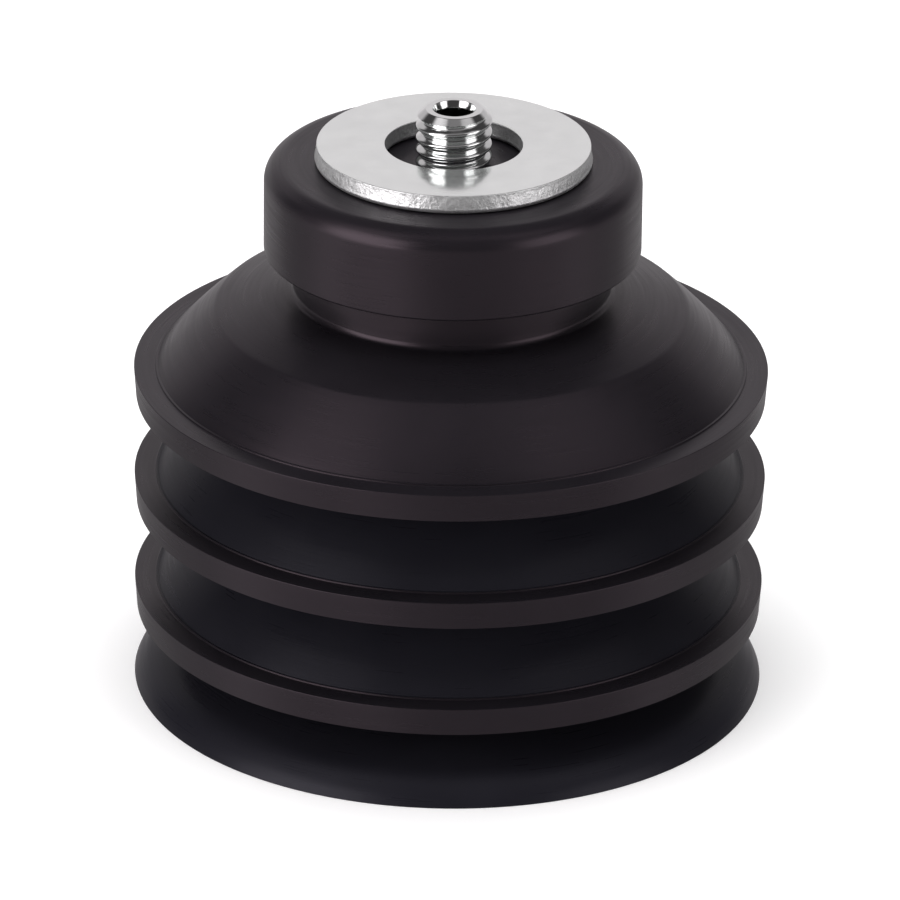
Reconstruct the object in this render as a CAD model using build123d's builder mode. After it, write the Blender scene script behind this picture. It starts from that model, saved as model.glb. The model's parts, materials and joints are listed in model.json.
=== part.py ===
from build123d import *
import os
from math import atan, radians, tan

# Bellows suction cup with a hollow threaded stud.
# Millimetres, +Z up. The origin is the centre of the sealing lip's contact plane.

# Sealing lip
lip_radius = 25.0
lip_edge = 0.45
lip_flare = 0.55
lip_shin = 1.5
lip_rise = 6.25
lip_taper = 0.45

# Folds
fold_count = 3
fold_radius = 24.95
fold_pitch = 9.05
rim_height = 2.2
rim_draft = 0.15
ledge_width = 1.75
ledge_fillet = 0.25
flank_run = 4.65
flank_crown = 0.12
flank_wall = 1.7
groove_gap = 2.01

# Webs: the thin rings that close the underside of each fold
web_wall = 1.2
web_start = 3.0
valley_depth = 0.6
valley_fillet = 0.45
throat_wall = 1.5
throat_fillet = 0.45

# Shoulder and neck
neck_radius = 12.45
neck_wall = 1.7
neck_height = 3.35
neck_fillet = 0.55
shoulder_slope = 16.35
shoulder_reach = 1.0

# Head
head_radius = 14.78
head_height = 7.18
head_round = 1.62
head_edge = 0.2

# Clamp washer
washer_radius = 10.9
washer_hole_radius = 5.37
washer_thickness = 1.5
washer_roll = 0.4

# Threaded stud, hollow for the air
stud_radius = 2.965
stud_rise = 2.95
stud_chamfer = 0.74
bore_radius = 1.5
bore_chamfer = 0.15
shank_radius = 2.5
shank_clearance = 0.02
flare_width = 1.2
flare_height = 0.6

# Support disc under the head
disc_thickness = 1.2
disc_clearance = 2.1
disc_edge = 0.3

# Radii and heights that follow from the sizes above
flank_rise = fold_pitch - rim_height - groove_gap
flank_slope = flank_rise / flank_run
flank_length = (flank_run**2 + flank_rise**2) ** 0.5
wall_drop = flank_wall * flank_length / flank_run
flank_outer = fold_radius - ledge_width
flank_inner = flank_outer - flank_run
web_outer = fold_radius - rim_draft - web_start
wall_foot = rim_height - wall_drop + (flank_outer - web_outer) * flank_slope
web_rise = min(web_wall, wall_foot)
valley_radius = flank_inner - valley_depth
throat_radius = valley_radius - throat_wall
rim_bottoms = [lip_rise + fold_pitch * i for i in range(fold_count)]
lip_top = lip_rise - groove_gap
flank_top = rim_bottoms[-1] + rim_height + flank_rise
neck_inner = neck_radius - neck_wall
neck_foot = flank_top + (flank_inner - neck_radius) * tan(radians(shoulder_slope))
shoulder_top = neck_foot + shoulder_reach
head_bottom = neck_foot + neck_height
head_top = head_bottom + head_height
washer_top = head_top + washer_thickness
stud_top = washer_top + stud_rise
disc_bottom = head_bottom - disc_thickness
disc_radius = neck_inner - disc_clearance
flare_bottom = disc_bottom - flare_height
shank_hole = shank_radius + shank_clearance

os.makedirs("parts", exist_ok=True)


def nearest(corners, point):
    """The profile corner that lies nearest to a (radius, height) point."""
    return corners.sort_by_distance((point[0], point[1], 0))[0]


def make_fold(name, rim_bottom):
    """Rim band, flat ledge, and the conical flank that rises inward from the ledge."""
    ledge = rim_bottom + rim_height
    flank_end = ledge + flank_rise
    flank_middle = (
        (flank_outer + flank_inner) / 2 + flank_crown * flank_rise / flank_length,
        (ledge + flank_end) / 2 + flank_crown * flank_run / flank_length,
    )
    with BuildPart() as ring:
        with BuildSketch(Plane.XZ) as section:
            with BuildLine():
                Polyline(
                    (flank_inner, flank_end),
                    (flank_inner, flank_end - wall_drop),
                    (web_outer, rim_bottom + wall_foot),
                    (web_outer, rim_bottom),
                    (fold_radius - rim_draft, rim_bottom),
                    (fold_radius, ledge),
                    (flank_outer, ledge),
                )
                ThreePointArc((flank_outer, ledge), flank_middle, (flank_inner, flank_end))
            make_face()
            fillet(nearest(section.vertices(), (flank_outer, ledge)), ledge_fillet)
        revolve(axis=Axis.Z)
    ring.part.label = name
    export_step(ring.part, f"parts/{name}.step")


def make_web(name, rim_bottom):
    """Thin ring from under a fold's rim to the valley, where the flank below ends."""
    lower_end = rim_bottom - groove_gap
    wall_end = lower_end - wall_drop
    valley = (valley_radius, lower_end + valley_depth * flank_slope)
    web_slope = (rim_bottom - valley[1]) / (web_outer - valley_radius)
    throat_top = (throat_radius, rim_bottom + web_rise - (web_outer - throat_radius) * web_slope)
    throat_foot = (throat_radius, wall_end + (flank_inner - throat_radius) * flank_slope)
    valley_side = valley_depth * flank_length / flank_run
    valley_room = 0.95 * valley_side * tan((atan(flank_slope) + atan(web_slope)) / 2)
    with BuildPart() as ring:
        with BuildSketch(Plane.XZ) as section:
            with BuildLine():
                Polyline(
                    (web_outer, rim_bottom),
                    (web_outer, rim_bottom + web_rise),
                    throat_top,
                    throat_foot,
                    (flank_inner, wall_end),
                    (flank_inner, lower_end),
                    valley,
                    close=True,
                )
            make_face()
            fillet(nearest(section.vertices(), valley), min(valley_fillet, valley_room))
            for bend in (throat_top, throat_foot):
                fillet(nearest(section.vertices(), bend), throat_fillet)
        revolve(axis=Axis.Z)
    ring.part.label = name
    export_step(ring.part, f"parts/{name}.step")


# Sealing lip: a bell that thins towards its edge and stands on a narrow flat ring
with BuildPart() as sealing_lip:
    with BuildSketch(Plane.XZ):
        with BuildLine():
            Spline(
                (flank_inner, lip_top),
                (lip_radius - lip_flare, lip_shin),
                (lip_radius, 0),
                tangents=((1, -lip_taper), (lip_flare, -lip_shin)),
            )
            Line((lip_radius, 0), (lip_radius - lip_edge, 0))
            Spline(
                (lip_radius - lip_edge, 0),
                (flank_inner, lip_top - wall_drop),
                tangents=((-lip_flare, lip_shin), (-1, lip_taper)),
            )
            Line((flank_inner, lip_top - wall_drop), (flank_inner, lip_top))
        make_face()
    revolve(axis=Axis.Z)
sealing_lip.part.label = "sealing_lip"
export_step(sealing_lip.part, "parts/sealing_lip.step")

# Folds and their webs, numbered from the top
for index, bottom in enumerate(reversed(rim_bottoms)):
    make_fold(f"fold_{index + 1}", bottom)
    make_web(f"web_{index + 1}", bottom)

# Shoulder: a shallow cone from the top flank in to the foot of the neck
ceiling_slope = tan(radians(shoulder_slope))
ceiling_start = (valley_radius, flank_top - wall_drop + valley_depth * flank_slope)
ceiling_end = (neck_inner, ceiling_start[1] + (valley_radius - neck_inner) * ceiling_slope)
with BuildPart() as shoulder:
    with BuildSketch(Plane.XZ) as shoulder_section:
        with BuildLine():
            Polyline(
                (flank_inner, flank_top),
                (neck_radius, neck_foot),
                (neck_radius, shoulder_top),
                (neck_inner, shoulder_top),
                ceiling_end,
                ceiling_start,
                (flank_inner, flank_top - wall_drop),
                close=True,
            )
        make_face()
        for bend in ((neck_radius, neck_foot), ceiling_end):
            fillet(nearest(shoulder_section.vertices(), bend), neck_fillet)
    revolve(axis=Axis.Z)
shoulder.part.label = "shoulder"
export_step(shoulder.part, "parts/shoulder.step")

# Neck: a plain tube between the shoulder and the head
with BuildPart() as neck:
    with BuildSketch(Plane.XY.offset(shoulder_top)):
        Circle(neck_radius)
        Circle(neck_inner, mode=Mode.SUBTRACT)
    extrude(amount=head_bottom - shoulder_top)
neck.part.label = "neck"
export_step(neck.part, "parts/neck.step")

# Head: the thick rubber collar that the stud passes through
with BuildPart() as head:
    with BuildSketch(Plane.XY.offset(head_bottom)):
        Circle(head_radius)
    extrude(amount=head_height)
    rims = head.edges().filter_by(GeomType.CIRCLE).group_by(Axis.Z)
    fillet(rims[-1], head_round)
    fillet(rims[0], head_edge)
    with Locations((0, 0, head_top)):
        Hole(shank_hole)
head.part.label = "head"
export_step(head.part, "parts/head.step")

# Clamp washer: punched plate, rolled over at the rim of its lower face
with BuildPart() as clamp_washer:
    with BuildSketch(Plane.XY.offset(head_top)):
        Circle(washer_radius)
        Circle(washer_hole_radius, mode=Mode.SUBTRACT)
    extrude(amount=washer_thickness)
    lower_edges = clamp_washer.edges().filter_by(GeomType.CIRCLE).group_by(Axis.Z)[0]
    fillet(lower_edges.sort_by(SortBy.RADIUS)[-1], washer_roll)
clamp_washer.part.label = "clamp_washer"
export_step(clamp_washer.part, "parts/clamp_washer.step")

# Threaded stud: bored through, with a plain shank in the rubber and a flared lower end
with BuildPart() as threaded_stud:
    with BuildSketch(Plane.XZ):
        with BuildLine():
            Polyline(
                (bore_radius, flare_bottom),
                (shank_radius + flare_width, flare_bottom),
                (shank_radius + flare_width, disc_bottom),
                (shank_radius, disc_bottom),
                (shank_radius, head_top),
                (stud_radius, head_top),
                (stud_radius, stud_top - stud_chamfer),
                (stud_radius - stud_chamfer, stud_top),
                (bore_radius + bore_chamfer, stud_top),
                (bore_radius, stud_top - bore_chamfer),
                close=True,
            )
        make_face()
    revolve(axis=Axis.Z)
threaded_stud.part.label = "threaded_stud"
export_step(threaded_stud.part, "parts/threaded_stud.step")

# Support disc: plate that the flared stud pulls up against the underside of the head
with BuildPart() as support_disc:
    with BuildSketch(Plane.XY.offset(disc_bottom)):
        Circle(disc_radius)
        Circle(shank_hole, mode=Mode.SUBTRACT)
    extrude(amount=disc_thickness)
    lower_edges = support_disc.edges().filter_by(GeomType.CIRCLE).group_by(Axis.Z)[0]
    fillet(lower_edges.sort_by(SortBy.RADIUS)[-1], disc_edge)
support_disc.part.label = "support_disc"
export_step(support_disc.part, "parts/support_disc.step")
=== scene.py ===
import json
from math import atan2, cos, degrees, hypot, pi, radians, sin, tan

import bpy
from mathutils import Matrix, Vector, noise

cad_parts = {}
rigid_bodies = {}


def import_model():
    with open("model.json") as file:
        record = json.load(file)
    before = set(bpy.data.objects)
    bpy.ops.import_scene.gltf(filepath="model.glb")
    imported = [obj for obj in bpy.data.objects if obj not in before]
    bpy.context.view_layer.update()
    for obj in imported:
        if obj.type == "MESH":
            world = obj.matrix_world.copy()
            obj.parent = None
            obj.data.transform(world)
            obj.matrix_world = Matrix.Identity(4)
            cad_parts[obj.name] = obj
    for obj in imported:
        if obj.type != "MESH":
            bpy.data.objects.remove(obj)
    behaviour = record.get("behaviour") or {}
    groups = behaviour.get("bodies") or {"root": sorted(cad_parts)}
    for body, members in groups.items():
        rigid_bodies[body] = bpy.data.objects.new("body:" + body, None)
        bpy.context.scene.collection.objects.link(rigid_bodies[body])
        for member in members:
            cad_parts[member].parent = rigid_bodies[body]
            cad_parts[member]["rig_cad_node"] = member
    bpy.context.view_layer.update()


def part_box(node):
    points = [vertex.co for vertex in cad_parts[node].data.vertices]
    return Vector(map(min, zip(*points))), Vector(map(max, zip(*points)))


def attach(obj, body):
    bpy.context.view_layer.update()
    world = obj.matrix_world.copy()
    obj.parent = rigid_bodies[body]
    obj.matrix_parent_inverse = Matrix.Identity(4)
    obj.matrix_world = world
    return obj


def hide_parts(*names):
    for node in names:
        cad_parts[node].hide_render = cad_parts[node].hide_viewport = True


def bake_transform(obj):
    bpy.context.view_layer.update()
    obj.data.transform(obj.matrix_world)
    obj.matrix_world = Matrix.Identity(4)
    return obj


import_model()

# Bellows suction cup: the looks of the rubber moulding and of its metal fitting.
# Profiles are points (radius, height) or corners (radius, height, fillet), in millimetres.
# Meshes are in metres.

MM = 0.001

# ---------------------------------------------------------------- sizes

def reach(node):
    """Outer radius, lowest and highest point of a CAD node, in millimetres."""
    low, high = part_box(node)
    return high[0] / MM, low[2] / MM, high[2] / MM


HEAD_R, HEAD_LOW, HEAD_TOP = reach("head")
NECK_R, NECK_LOW, _ = reach("neck")
WASHER_R, _, WASHER_TOP = reach("clamp_washer")
FLARE_R, STUD_LOW, STUD_TOP = reach("threaded_stud")
_, DISC_LOW, _ = reach("support_disc")
LIP_R, _, LIP_TOP = reach("sealing_lip")
FOLD_R, _, FLANK_TOP = reach("fold_1")
FLANK_IN, _, _ = reach("shoulder")
WEB_OUT, _, _ = reach("web_1")
RIMS = [reach(node)[1] for node in ("fold_3", "fold_2", "fold_1")]

RIM_H = 2.2
RIM_DRAFT = 0.15
RIM_EDGE = 0.05
LEDGE_W = 1.75
LEDGE_FILLET = 0.1
STEP_H = 0.14
STEP_OUT = 0.06
STEP_EDGE = 0.03
FLANK_CROWN = 0.12
FLANK_WALL = 1.7
WEB_WALL = 1.2
VALLEY_DEPTH = 0.6
VALLEY_FILLET = 0.45
THROAT_WALL = 1.5
THROAT_FILLET = 0.45
INNER_FILLET = 0.3

SKIN_WANDER = 0.015

NECK_IN = 10.75
NECK_FILLET = 0.55
SHOULDER_REACH = 1.0
SHOULDER_CREASE = 0.7
SHOULDER_INNER = 0.5
SHOULDER_SEAM = 0.9
HEAD_ROUND = 1.62
HEAD_EDGE = 0.2

LIP_EDGE = 0.45
LIP_FLARE = 0.55
LIP_SHIN = 1.5
LIP_TAPER = 0.45

HOLE_R = 5.37
WASHER_ROLL = 0.42
WASHER_EDGE = 0.07
WALL_LEAN = 0.22
WALL_BAND = 0.7
TEAR_FADE = 0.1
TEAR_DEPTH = 0.012
TEAR_TOP = 0.1
WALL_SLACK = 0.05
PLAIN_SKIP = 6

SHANK_R = 2.5
THREAD_R = 2.965
BORE_R = 1.5
MOUTH_FLARE = 0.18
MOUTH_DEPTH = 0.55
STUD_CHAMFER = 0.74
PITCH = 1.0
THREAD_DEPTH = 0.42
THREAD_CREST = PITCH / 14
THREAD_FLANK = PITCH * 0.38
THREAD_TURN = 0.25
BORE_WALL = 0.3
LEVEL_SLACK = 0.001

FLANK_OUT = FOLD_R - LEDGE_W
FLANK_RISE = FLANK_TOP - RIMS[2] - RIM_H
FLANK_RUN = FLANK_OUT - FLANK_IN
FLANK_SLOPE = FLANK_RISE / FLANK_RUN
WALL_DROP = FLANK_WALL * hypot(FLANK_RUN, FLANK_RISE) / FLANK_RUN
VALLEY_R = FLANK_IN - VALLEY_DEPTH
THROAT_R = VALLEY_R - THROAT_WALL
GROOVE = RIMS[0] - LIP_TOP

# ---------------------------------------------------------------- profiles and meshes


def divided(start, end, step):
    """Points after start and up to end along a straight run, no further apart than step."""
    count = max(1, round((end - start).length / step))
    return [start.lerp(end, k / count) for k in range(1, count + 1)]


def rounded(corners, step=0.45, turn=8.0):
    """A closed outline of (radius, height, fillet) corners, as evenly divided points."""
    arcs = []
    for i, (r, z, fillet) in enumerate(corners):
        here = Vector((r, z))
        back = (Vector(corners[i - 1][:2]) - here).normalized()
        ahead = (Vector(corners[(i + 1) % len(corners)][:2]) - here).normalized()
        if not fillet:
            arcs.append([here])
            continue
        angle = back.angle(ahead)
        centre = here + (back + ahead).normalized() * fillet / sin(angle / 2)
        first = here + back * fillet / tan(angle / 2) - centre
        last = here + ahead * fillet / tan(angle / 2) - centre
        sweep = atan2(first.x * last.y - first.y * last.x, first.dot(last))
        count = max(2, round(abs(degrees(sweep)) / turn))
        arcs.append([centre + Matrix.Rotation(sweep * k / count, 2) @ first for k in range(count + 1)])
    points = []
    for i, arc in enumerate(arcs):
        points += arc
        points += divided(arc[-1], arcs[(i + 1) % len(arcs)][0], step)[:-1]
    return points


def make_mesh(name, vertices, faces, *materials):
    """A mesh object with outward faces, smooth but for its sharp edges."""
    mesh = bpy.data.meshes.new(name)
    mesh.from_pydata(vertices, [], faces)
    mesh.polygons.foreach_set("use_smooth", [True] * len(faces))
    mesh.set_sharp_from_angle(angle=radians(35))
    for material in materials:
        mesh.materials.append(material)
    piece = bpy.data.objects.new(name, mesh)
    bpy.context.scene.collection.objects.link(piece)
    return piece


def lathe(name, outline, material, segments=288, shape=None):
    """A ring turned about Z from a closed, anticlockwise outline. shape moves a point by its angle."""
    vertices = []
    for k in range(segments):
        angle = 2 * pi * k / segments
        for point in outline:
            r, z = shape(point[0], point[1], angle) if shape else point
            vertices.append((r * cos(angle) * MM, r * sin(angle) * MM, z * MM))
    rows = len(outline)
    faces = []
    for k in range(segments):
        this, after = k * rows, (k + 1) % segments * rows
        for i in range(rows):
            j = (i + 1) % rows
            faces.append((this + i, after + i, after + j, this + j))
    return make_mesh(name, vertices, faces, material)


def wander(r, z, angle, size, pace):
    """Smooth noise from -1 to 1 that runs round the axis without a seam."""
    spot = Vector((cos(angle) * pace, sin(angle) * pace, (z + r) * size))
    return noise.noise(spot)


# ---------------------------------------------------------------- materials


def add_node(tree, kind, inputs=(), **settings):
    """A shader node; inputs are values, or sockets to link from."""
    node = tree.nodes.new(kind)
    for key, value in settings.items():
        setattr(node, key, value)
    for key, value in dict(inputs).items():
        if isinstance(value, bpy.types.NodeSocket):
            tree.links.new(value, node.inputs[key])
        else:
            node.inputs[key].default_value = value
    return node


def compute(tree, operation, *values):
    """The output of a Math node over sockets or numbers."""
    return add_node(tree, "ShaderNodeMath", dict(enumerate(values)), operation=operation).outputs[0]


def sum_of(tree, value, gain, offset):
    """value * gain + offset, as a socket."""
    return compute(tree, "MULTIPLY_ADD", value, gain, offset)


def fractal(tree, place, scale, detail):
    """The factor of a noise texture."""
    settings = {"Vector": place, "Scale": scale, "Detail": detail}
    return add_node(tree, "ShaderNodeTexNoise", settings).outputs["Fac"]


def turned_marks(tree, spot, radius, detail):
    """Noise that runs in rings round the axis, on walls and on level faces alike."""
    settings = {"Vector": spot, "W": radius, "Scale": 1.0, "Detail": detail}
    return add_node(tree, "ShaderNodeTexNoise", settings, noise_dimensions="4D").outputs["Fac"]


def blend_color(tree, factor, low, high):
    """A colour between two by a factor."""
    settings = {0: factor, 6: (*low, 1), 7: (*high, 1)}
    return add_node(tree, "ShaderNodeMix", settings, data_type="RGBA").outputs[2]


def add_relief(tree, shader, first, share, second, strength, distance):
    """Bumps the surface by the sum of two sockets, the first one scaled by its share."""
    height = compute(tree, "ADD", sum_of(tree, first, share, 0.0), second)
    settings = {"Height": height, "Strength": strength, "Distance": distance}
    bump = add_node(tree, "ShaderNodeBump", settings)
    tree.links.new(bump.outputs[0], shader.inputs["Normal"])


def turned_space(tree, around, across):
    """Coordinates that change fast across the turning marks and slowly round them."""
    place = add_node(tree, "ShaderNodeTexCoord").outputs["Object"]
    parts = add_node(tree, "ShaderNodeSeparateXYZ", {0: place}).outputs
    flat = add_node(tree, "ShaderNodeCombineXYZ", {0: parts[0], 1: parts[1]}).outputs[0]
    radius = add_node(tree, "ShaderNodeVectorMath", {0: flat}, operation="LENGTH").outputs["Value"]
    heading = add_node(tree, "ShaderNodeVectorMath", {0: flat}, operation="NORMALIZE").outputs[0]
    settings = {0: heading, "Scale": around}
    heading = add_node(tree, "ShaderNodeVectorMath", settings, operation="SCALE").outputs[0]
    height = sum_of(tree, parts[2], across, 0.0)
    lift = add_node(tree, "ShaderNodeCombineXYZ", {2: height}).outputs[0]
    spot = add_node(tree, "ShaderNodeVectorMath", {0: heading, 1: lift}).outputs[0]
    return place, spot, sum_of(tree, radius, across, 0.0)


def new_material(name, **constants):
    """A Principled material, with its constant sockets set."""
    material = bpy.data.materials.new(name)
    material.use_nodes = True
    tree = material.node_tree
    shader = tree.nodes["Principled BSDF"]
    for key, value in constants.items():
        shader.inputs[key.replace("_", " ")].default_value = value
    return material, tree, shader


def make_rubber(name, shine, tint, dark, light):
    """Moulded black rubber: fine turned marks from the mould, a faint grain and dull patches."""
    material, tree, shader = new_material(name, Specular_Tint=(*tint, 1))
    facing = add_node(tree, "ShaderNodeLayerWeight").outputs["Facing"]
    settings = {"Value": facing, "From Min": 0.35, "From Max": 0.85, "To Min": shine, "To Max": shine * 0.6}
    gloss = add_node(tree, "ShaderNodeMapRange", settings).outputs[0]
    tree.links.new(gloss, shader.inputs["Specular IOR Level"])
    place, spot, radius = turned_space(tree, around=2.5, across=3800.0)
    marks = turned_marks(tree, spot, radius, 3.0)
    patches = fractal(tree, place, 160.0, 4.0)
    grain = fractal(tree, place, 4200.0, 2.0)
    tree.links.new(blend_color(tree, patches, dark, light), shader.inputs["Base Color"])
    dull = compute(tree, "ADD", sum_of(tree, marks, 0.22, 0.13), sum_of(tree, patches, 0.14, 0.0))
    tree.links.new(dull, shader.inputs["Roughness"])
    add_relief(tree, shader, marks, 0.7, sum_of(tree, grain, 0.3, 0.0), 0.35, 0.00003)
    return material


def make_plate():
    """Bright zinc plate over rolled steel, with faint scratches and cloudy patches."""
    material, tree, shader = new_material("zinc_plate", Metallic=0.88)
    place = add_node(tree, "ShaderNodeTexCoord").outputs["Object"]
    cloud = fractal(tree, place, 420.0, 5.0)
    settings = {"Vector": place, "Scale": (400.0, 5200.0, 400.0), "Rotation": (0, 0, radians(24))}
    stretched = add_node(tree, "ShaderNodeMapping", settings).outputs[0]
    scratch = fractal(tree, stretched, 1.0, 3.0)
    tone = blend_color(tree, cloud, (0.75, 0.77, 0.76), (0.885, 0.91, 0.895))
    tree.links.new(tone, shader.inputs["Base Color"])
    dull = compute(tree, "ADD", sum_of(tree, cloud, 0.07, 0.05), sum_of(tree, scratch, 0.07, 0.0))
    tree.links.new(dull, shader.inputs["Roughness"])
    add_relief(tree, shader, cloud, 0.6, sum_of(tree, scratch, 0.4, 0.0), 0.12, 0.00003)
    return material


def make_torn_edge():
    """The torn walls of the punched plate: zinc over a pitted, mottled surface."""
    material, tree, shader = new_material("zinc_torn_edge", Metallic=0.8)
    place = add_node(tree, "ShaderNodeTexCoord").outputs["Object"]
    pits = fractal(tree, place, 5200.0, 4.0)
    cloud = fractal(tree, place, 1500.0, 3.0)
    tone = blend_color(tree, pits, (0.48, 0.49, 0.485), (0.98, 1.0, 0.99))
    tree.links.new(tone, shader.inputs["Base Color"])
    tree.links.new(sum_of(tree, cloud, 0.3, 0.25), shader.inputs["Roughness"])
    add_relief(tree, shader, pits, 0.6, cloud, 0.65, 0.0001)
    return material


def make_nickel():
    """Polished nickel over turned brass, with fine tool marks round the stud."""
    material, tree, shader = new_material("polished_nickel", Metallic=1.0)
    place, spot, radius = turned_space(tree, around=1.2, across=9000.0)
    marks = turned_marks(tree, spot, radius, 2.0)
    cloud = fractal(tree, place, 900.0, 3.0)
    tone = blend_color(tree, cloud, (0.75, 0.77, 0.76), (0.89, 0.91, 0.90))
    tree.links.new(tone, shader.inputs["Base Color"])
    dull = compute(tree, "ADD", sum_of(tree, marks, 0.08, 0.03), sum_of(tree, cloud, 0.06, 0.0))
    tree.links.new(dull, shader.inputs["Roughness"])
    bump = add_node(tree, "ShaderNodeBump", {"Height": marks, "Strength": 0.12, "Distance": 0.00002})
    tree.links.new(bump.outputs[0], shader.inputs["Normal"])
    return material


RUBBER = make_rubber("moulded_rubber", shine=0.37, tint=(1.0, 0.80, 0.91),
                     dark=(0.0070, 0.0062, 0.0078), light=(0.0120, 0.0106, 0.0130))
# Painted shade: a bluish copy of the rubber that reflects less, for the upward skin between the folds where
# the rims above shade it. Its lighter base is painted fill light in the grooves.
PAINTED_SHADE_RUBBER = make_rubber("painted_shade_rubber", shine=0.15, tint=(0.9, 0.9, 1.0),
                        dark=(0.0090, 0.0088, 0.0122), light=(0.0145, 0.0142, 0.0185))
PLATE = make_plate()
TORN_EDGE = make_torn_edge()
NICKEL = make_nickel()

# ---------------------------------------------------------------- the rubber moulding
# One moulding, cut by level planes into pieces.


def flank(ledge, part=1.0):
    """Points up a fold's slightly crowned flank, from its foot step to part of its height."""
    points = []
    length = hypot(FLANK_RUN, FLANK_RISE)
    foot = STEP_H / FLANK_RISE
    for k in range(1, 13):
        t = foot + (part - foot) * k / 12
        bulge = 4 * FLANK_CROWN * t * (1 - t)
        r = FLANK_OUT - FLANK_RUN * t + bulge * FLANK_RISE / length
        z = ledge + FLANK_RISE * t + bulge * FLANK_RUN / length
        points.append((r, z, 0))
    return points


def rim(rim_bottom):
    """Corners of a fold's rim band, its ledge and the step at the foot of the flank, from below."""
    ledge = rim_bottom + RIM_H
    return [
        (FOLD_R - RIM_DRAFT, rim_bottom, 0),
        (FOLD_R, ledge, RIM_EDGE),
        (FLANK_OUT + STEP_OUT, ledge, LEDGE_FILLET),
        (FLANK_OUT + STEP_OUT, ledge + STEP_H, STEP_EDGE),
        (FLANK_OUT - STEP_H / FLANK_SLOPE, ledge + STEP_H, 0),
    ]


def web_slope():
    """Rise over run of a web, from the valley out to the rim."""
    return (GROOVE - VALLEY_DEPTH * FLANK_SLOPE) / (WEB_OUT - VALLEY_R)


def under_rim(rim_bottom):
    """Outside corners from the flank's end, through the valley and out under the rim above."""
    return [
        (FLANK_IN, rim_bottom - GROOVE, 0),
        (VALLEY_R, rim_bottom - GROOVE + VALLEY_DEPTH * FLANK_SLOPE, VALLEY_FILLET),
        (WEB_OUT, rim_bottom, 0),
    ]


def throat(rim_bottom):
    """Inside corners from the web's upper face down the throat to the wall of the flank below."""
    wall_foot = rim_bottom - GROOVE - WALL_DROP
    return [
        (WEB_OUT - WEB_WALL / web_slope(), rim_bottom, 0),
        (THROAT_R, rim_bottom + WEB_WALL - (WEB_OUT - THROAT_R) * web_slope(), THROAT_FILLET),
        (THROAT_R, wall_foot + (FLANK_IN - THROAT_R) * FLANK_SLOPE, THROAT_FILLET),
    ]


def fold_inside(rim_bottom):
    """Inside corners where the flank's wall meets the web below it."""
    ledge = rim_bottom + RIM_H
    return [
        (WEB_OUT, ledge - WALL_DROP + (FLANK_OUT - WEB_OUT) * FLANK_SLOPE, INNER_FILLET),
        (WEB_OUT - WEB_WALL / web_slope(), rim_bottom, 0),
    ]


def rubber_skin(r, z, angle):
    """The moulding is not perfectly round: it falls short of its size by a little."""
    return r - SKIN_WANDER * (1 + wander(r, z, angle, 0.15, 1.6)), z


def make_fold(name, rim_bottom, rim_above):
    """A fold below another: rim, flank, valley and the web up to the rim above."""
    outline = rim(rim_bottom)
    outline += flank(rim_bottom + RIM_H)[:-1]
    outline += under_rim(rim_above)
    outline += throat(rim_above)
    outline += fold_inside(rim_bottom)
    return lathe(name, rounded(outline), RUBBER, shape=rubber_skin)


def shoulder_ceiling():
    """Inside corners under the shoulder, from the flank's wall to the neck, and the slope between."""
    slope = (NECK_LOW - SHOULDER_REACH - FLANK_TOP) / (FLANK_IN - NECK_R)
    start = (VALLEY_R, FLANK_TOP - WALL_DROP + VALLEY_DEPTH * FLANK_SLOPE)
    end = (NECK_IN, start[1] + (VALLEY_R - NECK_IN) * slope)
    return start, end, slope


def make_upper_fold():
    """The top fold, up to a level cut near the end of its flank."""
    side = flank(RIMS[2] + RIM_H, SHOULDER_SEAM)
    cut = side[-1][1]
    start, _, slope = shoulder_ceiling()
    outline = rim(RIMS[2]) + side
    outline += [(start[0] - (cut - start[1]) / slope, cut, 0), (*start, SHOULDER_INNER)]
    outline += fold_inside(RIMS[2])
    return lathe("upper_fold_rubber", rounded(outline), RUBBER, shape=rubber_skin), cut


def make_shoulder(cut):
    """The end of the top flank, the shallow shoulder, and the fillet up into the neck."""
    start, end, slope = shoulder_ceiling()
    cut_r = flank(RIMS[2] + RIM_H, SHOULDER_SEAM)[-1][0]
    outline = [
        (cut_r, cut, 0),
        (FLANK_IN, FLANK_TOP, SHOULDER_CREASE),
        (NECK_R, NECK_LOW - SHOULDER_REACH, NECK_FILLET),
        (NECK_R, NECK_LOW, 0),
        (NECK_IN, NECK_LOW, 0),
        (*end, NECK_FILLET),
        (start[0] - (cut - start[1]) / slope, cut, 0),
    ]
    return lathe("shoulder_rubber", rounded(outline, turn=5.0), RUBBER, shape=rubber_skin)


def make_neck():
    """The plain tube of the neck."""
    outline = [
        (NECK_R, NECK_LOW, 0),
        (NECK_R, HEAD_LOW, 0),
        (NECK_IN, HEAD_LOW, 0),
        (NECK_IN, NECK_LOW, 0),
    ]
    return lathe("neck_rubber", rounded(outline), RUBBER, shape=rubber_skin)


def make_head():
    """The thick collar, well rounded above and pierced for the stud."""
    outline = [
        (HEAD_R, HEAD_LOW, HEAD_EDGE),
        (HEAD_R, HEAD_TOP, HEAD_ROUND),
        (SHANK_R, HEAD_TOP, 0),
        (SHANK_R, HEAD_LOW, 0),
    ]
    return lathe("head_rubber", rounded(outline, turn=4.0), RUBBER, shape=rubber_skin)


def bell(start, end, start_way, end_way, count=16):
    """Points between two ends of a smooth curve that leaves and arrives along the given ways."""
    span = hypot(end[0] - start[0], end[1] - start[1])
    points = []
    for k in range(1, count):
        t = k / count
        ends = (2 * t**3 - 3 * t**2 + 1, 3 * t**2 - 2 * t**3)
        ways = ((t**3 - 2 * t**2 + t) * span, (t**3 - t**2) * span)
        r, z = (
            ends[0] * start[i] + ends[1] * end[i] + ways[0] * start_way[i] + ways[1] * end_way[i]
            for i in (0, 1)
        )
        points.append((r, z, 0))
    return points


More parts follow.
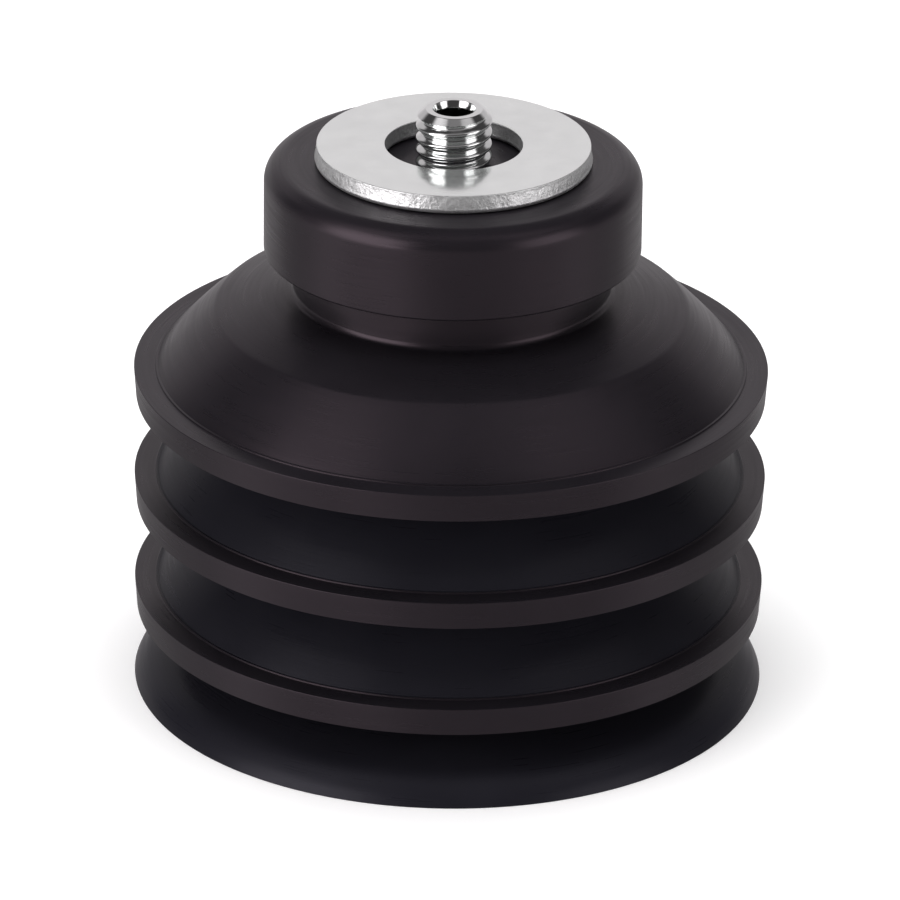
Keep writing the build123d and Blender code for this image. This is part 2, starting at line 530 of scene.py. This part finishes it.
def make_lip():
    """The sealing lip: a bell that thins towards its edge, and the web up to the lowest rim."""
    edge = (LIP_R, 0.0)
    root = (FLANK_IN, LIP_TOP)
    inner_edge = (LIP_R - LIP_EDGE, 0.0)
    inner_root = (FLANK_IN, LIP_TOP - WALL_DROP)
    steep = Vector((-LIP_FLARE, LIP_SHIN)).normalized()
    shallow = Vector((-1.0, LIP_TAPER)).normalized()
    outline = [(*edge, 0)]
    outline += bell(edge, root, steep, shallow)
    outline += under_rim(RIMS[0])
    outline += throat(RIMS[0])
    outline.append((*inner_root, 0))
    outline += bell(inner_root, inner_edge, -shallow, -steep)
    outline.append((*inner_edge, 0))
    return lathe("lip_rubber", rounded(outline), RUBBER, shape=rubber_skin)


def paint_shade_between_folds(piece, inside):
    """Painted shade: the skin that faces up between the folds gets a bluish copy of the rubber that
    reflects less than the rims, with a lighter base as painted fill light.
    """
    piece.data.materials.append(PAINTED_SHADE_RUBBER)
    for face in piece.data.polygons:
        radius = hypot(face.center.x, face.center.y) / MM
        face.material_index = int(face.normal.z > 0.1 and radius < inside)


def build_rubber():
    """Every rubber piece: the head on its body, the others left where they are built, in place of the CAD
    nodes.
    """
    head = make_head()
    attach(head, "collar")
    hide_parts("head")
    neck = make_neck()
    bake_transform(neck)
    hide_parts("neck")
    upper, cut = make_upper_fold()
    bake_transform(upper)
    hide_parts("fold_1")
    shoulder = make_shoulder(cut)
    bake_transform(shoulder)
    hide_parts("shoulder")
    middle = make_fold("middle_fold_rubber", RIMS[1], RIMS[2])
    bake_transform(middle)
    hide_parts("fold_2", "web_1")
    lower = make_fold("lower_fold_rubber", RIMS[0], RIMS[1])
    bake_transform(lower)
    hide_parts("fold_3", "web_2")
    lip = make_lip()
    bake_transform(lip)
    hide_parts("sealing_lip", "web_3")
    # Painted shade and painted fill light on the upward skin between the folds and on the whole outer skin
    # of the lip.
    for piece, inside in ((middle, FLANK_OUT), (lower, FLANK_OUT), (lip, LIP_R)):
        paint_shade_between_folds(piece, inside)


# ---------------------------------------------------------------- the metal fitting


def punched(r, z, angle):
    """The washer's walls are torn by the punch: pitted and a little uneven."""
    low, high = HEAD_TOP + WASHER_ROLL, WASHER_TOP - TEAR_TOP
    if not low < z < high:
        return r, z
    fade = min(1.0, (z - low) / TEAR_FADE, (high - z) / TEAR_FADE)
    rough = TEAR_DEPTH * (2 + wander(r, z, angle, 1.6, 26.0) + wander(r, z, angle, 4.0, 70.0))
    if r > WASHER_R - WALL_LEAN - WALL_SLACK:
        return r - fade * rough, z
    if r < HOLE_R + WALL_SLACK:
        return r + fade * rough, z
    return r, z


def make_washer():
    """Punched plate: rolled over at the edges of its lower face, torn on its walls."""
    outline = [
        (WASHER_R, HEAD_TOP, WASHER_ROLL),
        (WASHER_R - WALL_LEAN, WASHER_TOP, WASHER_EDGE),
        (HOLE_R, WASHER_TOP, WASHER_EDGE),
        (HOLE_R, HEAD_TOP, WASHER_ROLL),
    ]
    points = rounded(outline, step=0.09, turn=6.0)
    near_wall = [p.x < HOLE_R + WALL_BAND or p.x > WASHER_R - WALL_BAND for p in points]
    kept = [p for i, p in enumerate(points) if near_wall[i] or i % PLAIN_SKIP == 0]
    piece = lathe("washer_plate", kept, PLATE, segments=720, shape=punched)
    piece.data.materials.append(TORN_EDGE)
    for face in piece.data.polygons:
        face.material_index = int(abs(face.normal.z) < 0.8)
    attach(piece, "collar")
    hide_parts("clamp_washer")


def thread_radius(z, angle):
    """Radius of a right-hand thread at a height and an angle."""
    turn = (z / PITCH - angle / (2 * pi) + THREAD_TURN) % 1.0
    off_crest = abs(turn - 0.5) * PITCH
    down = min(1.0, max(0.0, (off_crest - THREAD_CREST) / THREAD_FLANK))
    eased = down * down * (3 - 2 * down)
    return THREAD_R - THREAD_DEPTH * (0.4 * down + 0.6 * eased)


def threaded(r, z, angle):
    """Cuts the thread into the part of the stud above the head."""
    if z > HEAD_TOP - LEVEL_SLACK and r > BORE_R + BORE_WALL:
        return min(r, thread_radius(z, angle)), z
    return r, z


def make_stud():
    """Hollow stud: flared foot, plain shank in the rubber, thread above, chamfered mouth."""
    foot = [
        (BORE_R, STUD_LOW, 0.1),
        (FLARE_R, STUD_LOW, 0.2),
        (FLARE_R, DISC_LOW, 0),
        (SHANK_R, DISC_LOW, 0),
        (SHANK_R, HEAD_TOP, 0),
        (THREAD_R, HEAD_TOP, 0),
        (THREAD_R, STUD_TOP - STUD_CHAMFER, 0),
        (THREAD_R - STUD_CHAMFER, STUD_TOP, 0.06),
        (BORE_R + MOUTH_FLARE, STUD_TOP, 0.04),
        (BORE_R, STUD_TOP - MOUTH_DEPTH, 0.3),
    ]
    points = rounded(foot, step=0.04, turn=15.0)
    piece = lathe("stud_thread", points, NICKEL, segments=192, shape=threaded)
    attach(piece, "collar")
    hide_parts("threaded_stud")


def finish_disc():
    """The support disc keeps its CAD shape and gets the plate's finish."""
    for found in bpy.context.scene.objects:
        if found.get("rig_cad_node") == "support_disc":
            found.data.materials.clear()
            found.data.materials.append(PLATE)


# ---------------------------------------------------------------- studio

LENS = 319.5
CAMERA_DISTANCE = 0.6303
CAMERA_RISE = radians(24.23)
CAMERA_PIVOT = Vector((0, 0, 0.0220))
CAMERA_AIM = Vector((0, 0, 0.01904))
CAMERA_ROLL = radians(0.72)

OVERHEAD_SIZE = (1.6, 1.6)
OVERHEAD_HEIGHT = 1.6
OVERHEAD_RADIANCE = 4.2
FLOOR_SIZE = 12.0
FLOOR_GAP = 0.00003
AMBIENT = 0.05
BACKDROP = 1.0
PANEL_COLOR = (1.0, 0.955, 0.98)
PANELS = [
    # azimuth and elevation in degrees, each as (middle, half width, soft edge), and radiance
    ((-54, 24, 6), (12, 24, 8), 3.3),
    ((-55, 35, 15), (-25, 15, 8), 0.6),
    ((-105, 30, 15), (-20, 22, 8), 0.36),
    ((-66, 26, 8), (52, 12, 8), 0.8),
    ((60, 18, 6), (8, 20, 10), 1.9),
    ((62, 30, 15), (-25, 15, 8), 0.35),
    ((105, 30, 15), (-20, 22, 8), 0.35),
    ((66, 26, 8), (52, 12, 8), 0.5),
    ((0, 35, 20), (-25, 18, 8), 0.34),
    ((0, 60, 25), (66, 16, 10), 0.16),
    ((180, 50, 8), (4, 32, 5), 0.48),
    ((180, 22, 12), (10, 24, 5), 0.18),
]


def make_camera():
    """A long lens in front of the cup, looking down on it."""
    camera = bpy.data.objects.new("camera", bpy.data.cameras.new("camera"))
    bpy.context.scene.collection.objects.link(camera)
    camera.data.lens = LENS
    camera.data.sensor_width = 36.0
    camera.data.clip_start = 0.01
    place = CAMERA_PIVOT + CAMERA_DISTANCE * Vector((0, -cos(CAMERA_RISE), sin(CAMERA_RISE)))
    turn = (CAMERA_AIM - place).to_track_quat("-Z", "Y").to_matrix().to_4x4()
    camera.matrix_world = Matrix.Translation(place) @ turn @ Matrix.Rotation(CAMERA_ROLL, 4, "Z")
    bpy.context.scene.camera = camera


def add_overhead():
    """A wide soft light above that brightens the floor and leaves no mirror image of itself."""
    light = bpy.data.lights.new("overhead", "AREA")
    light.shape = "RECTANGLE"
    light.size, light.size_y = OVERHEAD_SIZE
    light.energy = OVERHEAD_RADIANCE * pi * light.size * light.size_y
    lamp = bpy.data.objects.new("overhead", light)
    bpy.context.scene.collection.objects.link(lamp)
    lamp.location = (0, 0, OVERHEAD_HEIGHT)
    lamp.visible_glossy = False


def window(tree, value, middle, half, soft):
    """1 inside middle ± half, 0 outside, with soft edges. Angles in degrees; value in radians."""
    off = compute(tree, "ABSOLUTE", compute(tree, "SUBTRACT", value, radians(middle)))
    settings = {"Value": off, "From Min": radians(half + soft), "From Max": radians(half - soft)}
    return add_node(tree, "ShaderNodeMapRange", settings, interpolation_type="SMOOTHSTEP").outputs[0]


def make_world():
    """A studio of soft panels round the cup. Azimuth 0 is the camera's side and rises to its right.

    A panel at azimuth 180 spans the back evenly, on both sides.
    """
    world = bpy.data.worlds.new("studio")
    bpy.context.scene.world = world
    world.use_nodes = True
    tree = world.node_tree
    way = add_node(tree, "ShaderNodeTexCoord").outputs["Generated"]
    x, y, z = add_node(tree, "ShaderNodeSeparateXYZ", {0: way}).outputs
    azimuth = compute(tree, "ARCTAN2", x, sum_of(tree, y, -1.0, 0.0))
    elevation = compute(tree, "ARCSINE", z)
    turned = compute(tree, "ABSOLUTE", azimuth)
    glow = AMBIENT
    for around, upright, radiance in PANELS:
        side = azimuth if abs(around[0]) < 180 else turned
        lit = compute(tree, "MULTIPLY", window(tree, side, *around), window(tree, elevation, *upright))
        glow = compute(tree, "MULTIPLY_ADD", lit, radiance, glow)
    seen = add_node(tree, "ShaderNodeLightPath").outputs["Is Camera Ray"]
    plain = add_node(tree, "ShaderNodeMix", {0: seen, 2: glow, 3: BACKDROP}).outputs[0]
    tree.links.new(plain, tree.nodes["Background"].inputs["Strength"])
    color = blend_color(tree, seen, PANEL_COLOR, (1, 1, 1))
    tree.links.new(color, tree.nodes["Background"].inputs["Color"])


def make_floor():
    """A wide pale floor under the lip."""
    half = FLOOR_SIZE / 2
    corners = [(-half, -half, 0), (half, -half, 0), (half, half, 0), (-half, half, 0)]
    material, tree, shader = new_material("pale_floor", Roughness=0.9, Specular_IOR_Level=0.0,
                                          Emission_Color=(1, 1, 1, 1), Emission_Strength=0.1)
    place = add_node(tree, "ShaderNodeTexCoord").outputs["Object"]
    fibre = fractal(tree, place, 900.0, 2.0)
    tone = blend_color(tree, fibre, (0.92, 0.92, 0.92), (0.95, 0.95, 0.95))
    tree.links.new(tone, shader.inputs["Base Color"])
    floor = make_mesh("floor", corners, [(0, 1, 2, 3)], material)
    floor.location.z = -FLOOR_GAP
    floor.visible_glossy = False


def make_studio():
    """Camera, floor and lights."""
    bpy.context.scene.view_settings.view_transform = "Standard"
    make_camera()
    make_floor()
    make_world()
    add_overhead()


make_studio()
build_rubber()
make_washer()
make_stud()
finish_disc()
